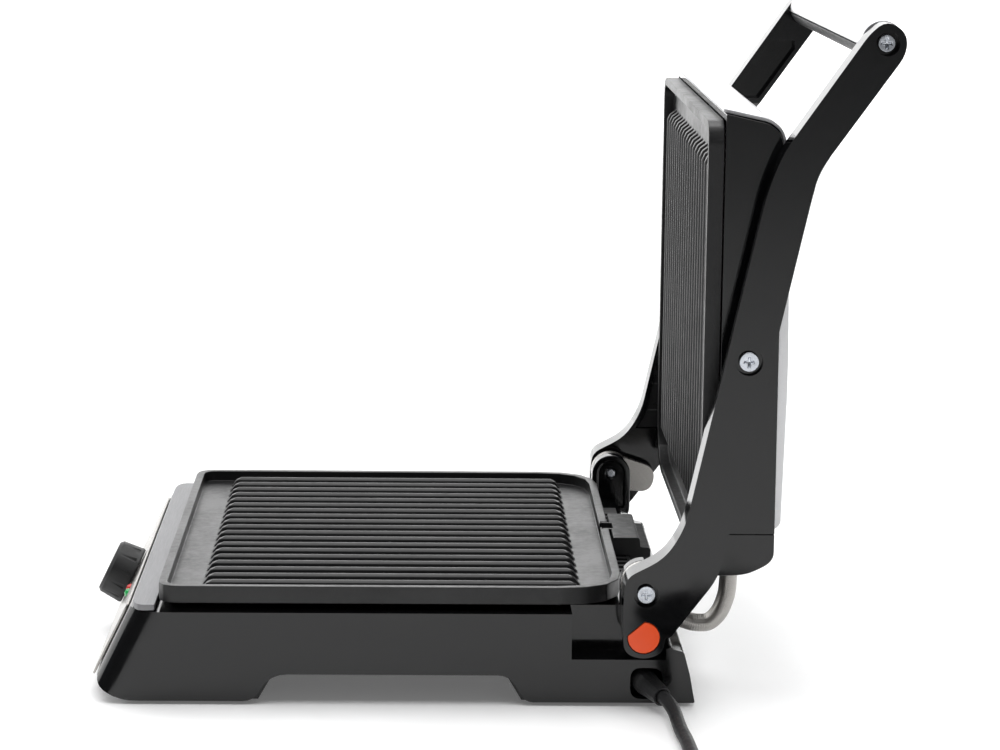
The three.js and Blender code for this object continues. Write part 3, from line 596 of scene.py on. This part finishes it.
def coil_line():
    """Two turns side by side and two on top, then a part turn outside that crosses the lead-in."""
    radii = (COIL_OUTER, COIL_INNER, COIL_INNER, COIL_OUTER, COIL_OUTSIDE)
    heights = (COIL_LOW, COIL_LOW, COIL_HIGH, COIL_HIGH, COIL_HIGH)
    line = []
    last = COIL_TURNS * COIL_STEPS + COIL_STEPS // 4 - 2
    for i in range(1, last + 1):
        turn = min(i // COIL_STEPS, COIL_TURNS)
        after = min(turn + 1, COIL_TURNS)
        blend = smooth_share((i / COIL_STEPS - turn - 0.72) / 0.28)
        radius = radii[turn] + (radii[after] - radii[turn]) * blend
        height = heights[turn] + (heights[after] - heights[turn]) * blend
        height -= (COIL_HIGH - COIL_LOW) * smooth_share((i / COIL_STEPS - COIL_TURNS) / 0.22)
        angle = -math.pi / 2 + i / COIL_STEPS * 2 * math.pi
        x = COIL_CENTRE[0] + radius * math.cos(angle)
        y = COIL_CENTRE[1] + radius * math.sin(angle)
        line.append((x, y, height))
    return line


def in_frame(points):
    return [(x, y + REAR_SHIFT, z) for x, y, z in points]


class PRESS_OT_cord(bpy.types.Operator):
    """Lay the mains cord from its strain relief to its bundled turns and plug"""
    bl_idname = "press.cord"
    bl_label = "Cord"

    def execute(self, context):
        diameter = context.scene.press_sizes.cord_diameter
        route = in_frame([*CORD_START, *coil_line(), *CORD_END])
        line = smooth_line(route, CORD_STEP)
        data = bpy.data.curves.new("mains_cord", "CURVE")
        data.dimensions = "3D"
        data.bevel_depth = diameter / 2
        data.bevel_resolution = 4
        data.use_fill_caps = True
        spline = data.splines.new("POLY")
        spline.points.add(len(line) - 1)
        for point, place in zip(spline.points, line):
            point.co = (*place, 1.0)
        cord = bpy.data.objects.new("mains_cord", data)
        context.scene.collection.objects.link(cord)
        plug = rounded("plug", 0.8 * MM)
        pins = [rounded(f"plug_pin_{i}", 0.6 * MM) for i in (1, 2)]
        tie = rounded("cord_tie", 0.4 * MM)
        settle(cord, "base", "rubber", "cord", "cord_coil", "cord_tail")
        return {"FINISHED"}


# ---------- shells ----------

class PRESS_OT_base(bpy.types.Operator):
    """Finish the base: housing, panel, trim, deck, spout and feet"""
    bl_idname = "press.base"
    bl_label = "Base"

    def execute(self, context):
        width = context.scene.press_sizes.shell_round
        ears = [(f"hinge_ear_{side}", 0.8 * MM) for side in ("right", "left")]
        feet = [(f"foot_{i}", 0.5 * MM) for i in range(1, 5)]
        round_all((("base_housing", width), *ears), 3)
        round_all((("front_panel", 0.3 * MM), ("front_trim", 0.6 * MM), ("rear_deck", 0.3 * MM),
                   ("drain_spout", 0.4 * MM), *feet))
        return {"FINISHED"}


class PRESS_OT_arms(bpy.types.Operator):
    """Finish the two arms, the handle and the release button"""
    bl_idname = "press.arms"
    bl_label = "Arms and handle"

    def execute(self, context):
        width = context.scene.press_sizes.shell_round
        round_all((("arm_right", width), ("arm_left", width), ("release_button", 0.7 * MM)), 3)
        round_all((("arm_inner_cover_right", 0.4 * MM), ("arm_inner_cover_left", 0.4 * MM),
                   ("handle_core", 0.6 * MM), ("handle_cover", 0.4 * MM)))
        return {"FINISHED"}


class PRESS_OT_platen(bpy.types.Operator):
    """Finish the platen's housing, end cap and silver cover"""
    bl_idname = "press.platen"
    bl_label = "Platen"

    def execute(self, context):
        width = context.scene.press_sizes.shell_round
        round_all((("platen_housing", width), ("platen_end_cap", width)), 3)
        rounded("platen_cover", 0.5 * MM)
        return {"FINISHED"}


class PRESS_OT_plates(bpy.types.Operator):
    """Finish the two ribbed plates"""
    bl_idname = "press.plates"
    bl_label = "Plates"

    def execute(self, context):
        width = context.scene.press_sizes.rib_round
        round_all((("lower_plate", width), ("upper_plate", width)))
        return {"FINISHED"}


class PRESS_OT_controls(bpy.types.Operator):
    """Finish the knob and the two lamps"""
    bl_idname = "press.controls"
    bl_label = "Controls"

    def execute(self, context):
        rounded("control_knob", 0.5 * MM, angle=24.0)
        for colour in ("red", "green"):
            smooth(dress_node(f"lamp_{colour}"))
        return {"FINISHED"}


def dress_node(node):
    """A CAD piece that stays as it is gets only its finish."""
    obj = bpy.data.objects[node]
    dress(obj, MATERIALS[slot_of(node)])
    return obj


class PRESS_OT_fasteners(bpy.types.Operator):
    """Finish the screws with rounded cross heads"""
    bl_idname = "press.fasteners"
    bl_label = "Fasteners"

    def execute(self, context):
        for side in ("right", "left"):
            for kind in ("hinge_screw", "platen_pivot_screw", "handle_screw"):
                rounded(f"{kind}_{side}", 0.5 * MM, 3)
        return {"FINISHED"}


class PRESS_OT_conduit(bpy.types.Operator):
    """Model the ridged steel conduit in four lengths"""
    bl_idname = "press.conduit"
    bl_label = "Conduit"

    def execute(self, context):
        radius = context.scene.press_sizes.conduit_radius
        line = smooth_line(in_frame([(CONDUIT_X, y, z) for y, z in CONDUIT_LINE]), CONDUIT_STEP)
        quarter = len(line) // 4
        pairs = (("base", "hinge_pins"), ("hinge_pins", "arms"), ("arms", "pivot_bushes"),
                 ("pivot_bushes", "platen"))
        for i, (below, above) in enumerate(pairs):
            start = i * quarter
            end = (i + 1) * quarter if i < 3 else len(line) - 1
            part = line[start:end + 1]
            piece = ridged_tube(f"conduit_length_{i + 1}", part, radius, start)
            dress(piece, MATERIALS["steel"])
            if i == 0:
                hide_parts("conduit_lower", "conduit_upper")
            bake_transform(piece)
        return {"FINISHED"}


def ridged_tube(name, line, radius, first):
    """A tube along a line in the plane across X, with a fine ridge every fourth step."""
    vertices = []
    for i, point in enumerate(line):
        ahead = line[min(i + 1, len(line) - 1)] - line[max(i - 1, 0)]
        ahead.normalize()
        across = Vector((1.0, 0.0, 0.0))
        up = ahead.cross(across)
        swell = radius + CONDUIT_RIDGE * math.sin((first + i) * math.pi / 2)
        for k in range(CONDUIT_SIDES):
            angle = k / CONDUIT_SIDES * 2 * math.pi
            vertices.append(point + (across * math.cos(angle) + up * math.sin(angle)) * swell)
    faces = []
    for i in range(len(line) - 1):
        for k in range(CONDUIT_SIDES):
            a = i * CONDUIT_SIDES + k
            b = i * CONDUIT_SIDES + (k + 1) % CONDUIT_SIDES
            faces.append((a, b, b + CONDUIT_SIDES, a + CONDUIT_SIDES))
    mesh = bpy.data.meshes.new(name)
    mesh.from_pydata(vertices, [], faces)
    tube = bpy.data.objects.new(name, mesh)
    bpy.context.scene.collection.objects.link(tube)
    only(tube)
    bpy.ops.object.mode_set(mode="EDIT")
    bpy.ops.mesh.select_all(action="SELECT")
    bpy.ops.mesh.normals_make_consistent(inside=False)
    bpy.ops.object.mode_set(mode="OBJECT")
    smooth(tube, 60.0)
    return tube


class PRESS_OT_remaining(bpy.types.Operator):
    """Give every CAD piece that still shows its own finish"""
    bl_idname = "press.remaining"
    bl_label = "Remaining pieces"

    def execute(self, context):
        for node in frame["nodes"]:
            if not bpy.data.objects[node].hide_render:
                dress_node(node)
        return {"FINISHED"}


class PRESS_PT_panel(bpy.types.Panel):
    """The press's settings and steps"""
    bl_label = "Panini press"
    bl_idname = "PRESS_PT_panel"
    bl_space_type = "VIEW_3D"
    bl_region_type = "UI"
    bl_category = "Panini press"

    def draw(self, context):
        layout = self.layout
        for owner in (context.scene.press_colours, context.scene.press_sizes, context.scene.press_studio):
            box = layout.box()
            for label in owner.__annotations__:
                box.prop(owner, label)
        for step in STEPS:
            layout.operator(step.bl_idname)


GROUPS = (("press_colours", PressColours), ("press_sizes", PressSizes), ("press_studio", StudioSettings))
STEPS = (
    PRESS_OT_stage, PRESS_OT_cord, PRESS_OT_base, PRESS_OT_plates, PRESS_OT_platen, PRESS_OT_arms,
    PRESS_OT_controls, PRESS_OT_fasteners, PRESS_OT_conduit, PRESS_OT_remaining,
)


def register():
    for label, group in GROUPS:
        bpy.utils.register_class(group)
        setattr(bpy.types.Scene, label, bpy.props.PointerProperty(type=group))
    for step in STEPS:
        bpy.utils.register_class(step)
    bpy.utils.register_class(PRESS_PT_panel)


def unregister():
    bpy.utils.unregister_class(PRESS_PT_panel)
    for step in reversed(STEPS):
        bpy.utils.unregister_class(step)
    for label, group in reversed(GROUPS):
        delattr(bpy.types.Scene, label)
        bpy.utils.unregister_class(group)


def main():
    register()
    make_materials(bpy.context.scene.press_colours)
    for step in STEPS:
        prefix, name = step.bl_idname.split(".")
        getattr(getattr(bpy.ops, prefix), name)()


if __name__ == "__main__":
    main()
